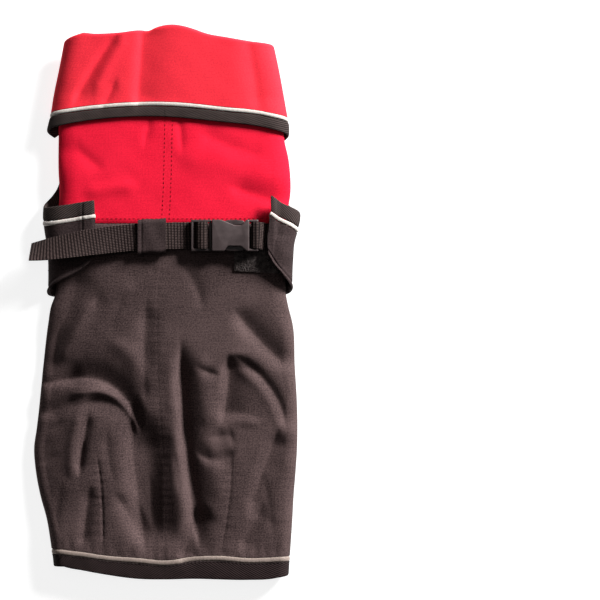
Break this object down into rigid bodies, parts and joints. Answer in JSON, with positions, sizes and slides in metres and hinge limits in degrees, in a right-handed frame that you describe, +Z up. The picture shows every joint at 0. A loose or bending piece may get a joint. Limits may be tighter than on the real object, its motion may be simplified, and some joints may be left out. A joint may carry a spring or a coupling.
{
  "type": "dog coat",
  "caption": "Softshell dog coat laid flat with its back up: turned-down collar, piped and bound edges, and a belly panel whose wings fasten over the back with a buckled strap.",
  "frame": {"origin": "on the surface the coat lies on, under the middle of its box", "axes": "+Z up from the surface, +Y from the hem to the collar, +X to the side with the buckle's socket"},
  "size_m": [0.1943, 0.4, 0.0277],
  "materials": {
    "black_softshell": "matt woven softshell",
    "red_softshell": "matt woven softshell",
    "twill_binding": "twill tape",
    "piping": "satin reflective piping",
    "webbing": "ribbed webbing",
    "dark_plastic": "fine-grained moulding",
    "grey_fleece": "brushed fleece",
    "loop_pile": "loop pile",
    "label_rubber": "matt soft rubber"
  },
  "bodies": {
    "root": {"body_left": "black_softshell", "body_right": "black_softshell", "neck_left": "red_softshell", "neck_right": "red_softshell", "collar": "red_softshell", "collar_piping": "piping", "collar_binding": "twill_binding", "chest_panel": "black_softshell", "chest_piping_left": "piping", "chest_piping_right": "piping", "chest_binding_left": "twill_binding", "chest_binding_right": "twill_binding", "edge_piping_left": "piping", "edge_piping_right": "piping", "edge_binding_left": "twill_binding", "edge_binding_right": "twill_binding", "hem_piping": "piping", "hem_binding": "twill_binding", "lining": "grey_fleece", "belt_left": "webbing", "belt_right": "webbing", "keeper": "black_softshell", "buckle_male": "dark_plastic", "buckle_female": "dark_plastic", "patch": "loop_pile", "label": "label_rubber"}
  },
  "joints": []
}
